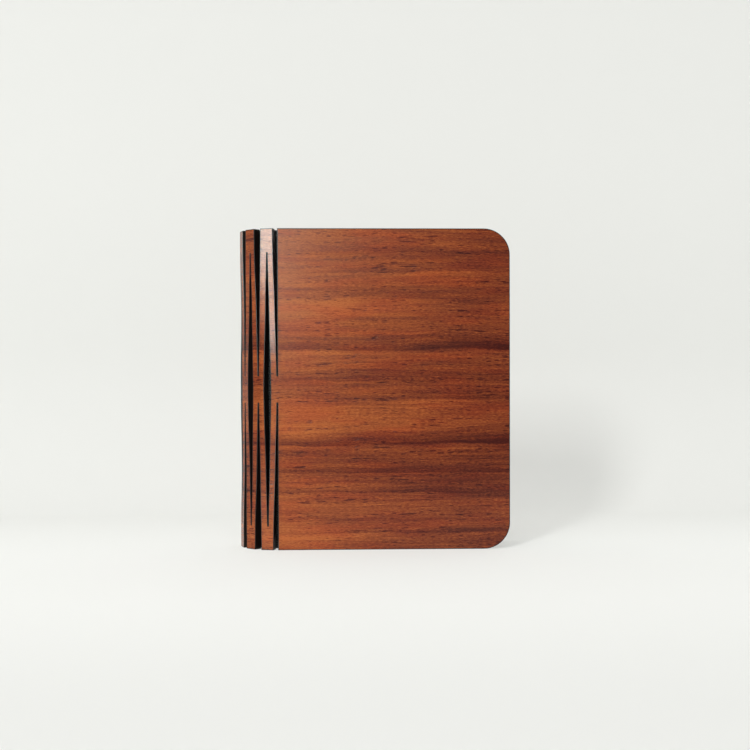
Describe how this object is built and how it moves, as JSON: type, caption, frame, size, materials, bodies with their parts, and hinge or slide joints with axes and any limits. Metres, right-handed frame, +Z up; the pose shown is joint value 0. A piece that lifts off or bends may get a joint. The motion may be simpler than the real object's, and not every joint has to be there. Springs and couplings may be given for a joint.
{
  "type": "folding book lamp",
  "caption": "Book-shaped lamp: wooden covers on a slit-cut flexible spine open round a paper accordion that a light core in the spine shines through.",
  "frame": {"origin": "middle of the bounding box at the surface that the closed lamp stands on", "axes": "+Z up along the spine, the front cover faces -Y, the spine is at -X and the fore-edge at +X"},
  "size_m": [0.103, 0.029, 0.122],
  "materials": {
    "wood_veneer": "satin reddish-brown veneer, dark cut edges",
    "black_lining": "black woven lining",
    "page_paper": "matte white fibrous page film",
    "core_plastic": "fine matte moulded",
    "diffuser": "opal, translucent",
    "circuit_board": "white solder mask",
    "switch_glass": "small sealed glass tube",
    "cell_wrap": "shrink wrap",
    "plated_steel": "nickel plate"
  },
  "bodies": {
    "light_core": {"core_housing": "core_plastic", "core_diffuser": "diffuser", "core_bottom_cap": "core_plastic", "core_top_cap": "core_plastic", "led_strip": "circuit_board", "control_board": "circuit_board", "magnetic_switch": "switch_glass", "charging_socket": "plated_steel", "battery_cell": "cell_wrap", "bottom_cap_screw_1": "plated_steel", "bottom_cap_screw_2": "plated_steel", "top_cap_screw_1": "plated_steel", "top_cap_screw_2": "plated_steel"},
    "front_fold_1": {"front_slat_1": "wood_veneer", "front_lining_1": "black_lining", "front_pleat_1": "page_paper"},
    "front_fold_2": {"front_slat_2": "wood_veneer", "front_lining_2": "black_lining", "front_pleat_2": "page_paper"},
    "front_fold_3": {"front_slat_3": "wood_veneer", "front_lining_3": "black_lining", "front_pleat_3": "page_paper"},
    "front_fold_4": {"front_slat_4": "wood_veneer", "front_lining_4": "black_lining", "front_pleat_4": "page_paper"},
    "front_fold_5": {"front_slat_5": "wood_veneer", "front_lining_5": "black_lining", "front_pleat_5": "page_paper"},
    "front_fold_6": {"front_slat_6": "wood_veneer", "front_lining_6": "black_lining", "front_pleat_6": "page_paper"},
    "front_cover": {"front_cover_board": "wood_veneer", "front_end_leaf": "page_paper", "front_cover_magnet_1": "plated_steel", "front_cover_magnet_2": "plated_steel", "switch_magnet": "plated_steel"},
    "back_fold_1": {"back_slat_1": "wood_veneer", "back_lining_1": "black_lining", "back_pleat_1": "page_paper"},
    "back_fold_2": {"back_slat_2": "wood_veneer", "back_lining_2": "black_lining", "back_pleat_2": "page_paper"},
    "back_fold_3": {"back_slat_3": "wood_veneer", "back_lining_3": "black_lining", "back_pleat_3": "page_paper"},
    "back_fold_4": {"back_slat_4": "wood_veneer", "back_lining_4": "black_lining", "back_pleat_4": "page_paper"},
    "back_fold_5": {"back_slat_5": "wood_veneer", "back_lining_5": "black_lining", "back_pleat_5": "page_paper"},
    "back_fold_6": {"back_slat_6": "wood_veneer", "back_lining_6": "black_lining", "back_pleat_6": "page_paper"},
    "back_cover": {"back_cover_board": "wood_veneer", "back_end_leaf": "page_paper", "back_cover_magnet_1": "plated_steel", "back_cover_magnet_2": "plated_steel"}
  },
  "joints": [
    {"name": "front_hinge_1", "type": "hinge", "parent": "light_core", "child": "front_fold_1", "pos_m": [-0.05004, 0, 0.061], "axis": [0, 0, -1], "range_deg": [0, 15.5]},
    {"name": "front_hinge_2", "type": "hinge", "parent": "front_fold_1", "child": "front_fold_2", "pos_m": [-0.0496, -0.00337, 0.061], "axis": [0, 0, -1], "range_deg": [0, 31]},
    {"name": "front_hinge_3", "type": "hinge", "parent": "front_fold_2", "child": "front_fold_3", "pos_m": [-0.0483, -0.00651, 0.061], "axis": [0, 0, -1], "range_deg": [0, 31]},
    {"name": "front_hinge_4", "type": "hinge", "parent": "front_fold_3", "child": "front_fold_4", "pos_m": [-0.04623, -0.00921, 0.061], "axis": [0, 0, -1], "range_deg": [0, 31]},
    {"name": "front_hinge_5", "type": "hinge", "parent": "front_fold_4", "child": "front_fold_5", "pos_m": [-0.04353, -0.01128, 0.061], "axis": [0, 0, -1], "range_deg": [0, 31]},
    {"name": "front_hinge_6", "type": "hinge", "parent": "front_fold_5", "child": "front_fold_6", "pos_m": [-0.04039, -0.01258, 0.061], "axis": [0, 0, -1], "range_deg": [0, 31]},
    {"name": "front_cover_hinge", "type": "hinge", "parent": "front_fold_6", "child": "front_cover", "pos_m": [-0.03702, -0.01302, 0.061], "axis": [0, 0, -1], "range_deg": [0, 15.5]},
    {"name": "back_hinge_1", "type": "hinge", "parent": "light_core", "child": "back_fold_1", "pos_m": [-0.05004, 0, 0.061], "axis": [0, 0, 1], "range_deg": [0, 15.5]},
    {"name": "back_hinge_2", "type": "hinge", "parent": "back_fold_1", "child": "back_fold_2", "pos_m": [-0.0496, 0.00337, 0.061], "axis": [0, 0, 1], "range_deg": [0, 31]},
    {"name": "back_hinge_3", "type": "hinge", "parent": "back_fold_2", "child": "back_fold_3", "pos_m": [-0.0483, 0.00651, 0.061], "axis": [0, 0, 1], "range_deg": [0, 31]},
    {"name": "back_hinge_4", "type": "hinge", "parent": "back_fold_3", "child": "back_fold_4", "pos_m": [-0.04623, 0.00921, 0.061], "axis": [0, 0, 1], "range_deg": [0, 31]},
    {"name": "back_hinge_5", "type": "hinge", "parent": "back_fold_4", "child": "back_fold_5", "pos_m": [-0.04353, 0.01128, 0.061], "axis": [0, 0, 1], "range_deg": [0, 31]},
    {"name": "back_hinge_6", "type": "hinge", "parent": "back_fold_5", "child": "back_fold_6", "pos_m": [-0.04039, 0.01258, 0.061], "axis": [0, 0, 1], "range_deg": [0, 31]},
    {"name": "back_cover_hinge", "type": "hinge", "parent": "back_fold_6", "child": "back_cover", "pos_m": [-0.03702, 0.01302, 0.061], "axis": [0, 0, 1], "range_deg": [0, 15.5]}
  ],
  "couplings": [
    {"joint": "front_hinge_1", "follows": "front_cover_hinge", "ratio": 1},
    {"joint": "front_hinge_2", "follows": "front_cover_hinge", "ratio": 2},
    {"joint": "front_hinge_3", "follows": "front_cover_hinge", "ratio": 2},
    {"joint": "front_hinge_4", "follows": "front_cover_hinge", "ratio": 2},
    {"joint": "front_hinge_5", "follows": "front_cover_hinge", "ratio": 2},
    {"joint": "front_hinge_6", "follows": "front_cover_hinge", "ratio": 2},
    {"joint": "back_hinge_1", "follows": "back_cover_hinge", "ratio": 1},
    {"joint": "back_hinge_2", "follows": "back_cover_hinge", "ratio": 2},
    {"joint": "back_hinge_3", "follows": "back_cover_hinge", "ratio": 2},
    {"joint": "back_hinge_4", "follows": "back_cover_hinge", "ratio": 2},
    {"joint": "back_hinge_5", "follows": "back_cover_hinge", "ratio": 2},
    {"joint": "back_hinge_6", "follows": "back_cover_hinge", "ratio": 2}
  ]
}
